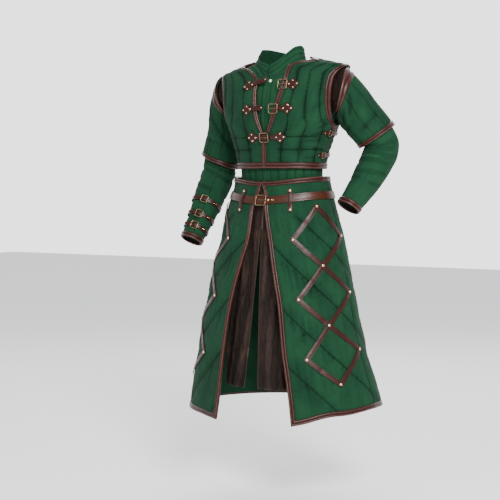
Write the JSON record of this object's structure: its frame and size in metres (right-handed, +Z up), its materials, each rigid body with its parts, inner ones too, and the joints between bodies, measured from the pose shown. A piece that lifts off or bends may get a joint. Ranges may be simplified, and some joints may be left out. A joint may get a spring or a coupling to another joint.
{
  "type": "gambeson",
  "caption": "Quilted gambeson: standing-collar jacket, cropped buckled vest, half sleeves and a split, belted skirt with riveted leather lattice.",
  "frame": {"origin": "middle of the shoulder line, where the wearer's shoulders carry the garment, 1.5 m above the ground when worn", "axes": "+Z up along the worn garment, the garment faces -Y, the wearer's left is +X"},
  "size_m": [0.8185, 0.5611, 1.3218],
  "materials": {
    "green_cloth": "quilted cotton canvas, matt with a faint sheen on the raised channels",
    "brown_leather": "semi-gloss bound leather, worn lighter on the ridges",
    "belt_leather": "smooth reddish-brown belt leather, semi-gloss",
    "dark_suede": "matt dark suede, softly creased",
    "antique_bronze": "antiqued, dark in the recesses",
    "pearl_button": "pearly gloss"
  },
  "bodies": {
    "root": {"armhole_binding_left": "brown_leather", "armhole_binding_right": "brown_leather", "belt": "belt_leather", "belt_buckle": "antique_bronze", "belt_loop_left": "brown_leather", "belt_loop_right": "brown_leather", "closure_buckle_1": "antique_bronze", "closure_buckle_2": "antique_bronze", "closure_buckle_3": "antique_bronze", "closure_strap_1": "brown_leather", "closure_strap_2": "brown_leather", "closure_strap_3": "brown_leather", "closure_tab_1": "brown_leather", "closure_tab_2": "brown_leather", "closure_tab_3": "brown_leather", "collar": "green_cloth", "cuff_binding_left": "brown_leather", "cuff_binding_right": "brown_leather", "forearm_buckle_1": "antique_bronze", "forearm_buckle_2": "antique_bronze", "forearm_buckle_3": "antique_bronze", "forearm_strap_1": "brown_leather", "forearm_strap_2": "brown_leather", "forearm_strap_3": "brown_leather", "half_sleeve_hem_binding_left": "brown_leather", "half_sleeve_hem_binding_right": "brown_leather", "half_sleeve_left": "green_cloth", "half_sleeve_right": "green_cloth", "half_sleeve_top_binding_left": "brown_leather", "half_sleeve_top_binding_right": "brown_leather", "jacket_back": "green_cloth", "jacket_front_left": "green_cloth", "jacket_front_right": "green_cloth", "jacket_sleeve_left": "green_cloth", "jacket_sleeve_right": "green_cloth", "lattice_left": "brown_leather", "lattice_right": "brown_leather", "neck_button": "pearl_button", "shoulder_gusset_left": "brown_leather", "shoulder_gusset_right": "brown_leather", "side_strap_lower_left": "brown_leather", "side_strap_lower_right": "brown_leather", "side_strap_upper_left": "brown_leather", "side_strap_upper_right": "brown_leather", "skirt_back": "green_cloth", "skirt_binding_hem_back": "brown_leather", "skirt_binding_left": "brown_leather", "skirt_binding_right": "brown_leather", "skirt_binding_top_back": "brown_leather", "skirt_front_left": "green_cloth", "skirt_front_right": "green_cloth", "tail_left": "dark_suede", "tail_right": "dark_suede", "vest_back": "green_cloth", "vest_binding_hem_back": "brown_leather", "vest_binding_left": "brown_leather", "vest_binding_neck_back": "brown_leather", "vest_binding_right": "brown_leather", "vest_front_left": "green_cloth", "vest_front_right": "green_cloth"}
  },
  "joints": []
}
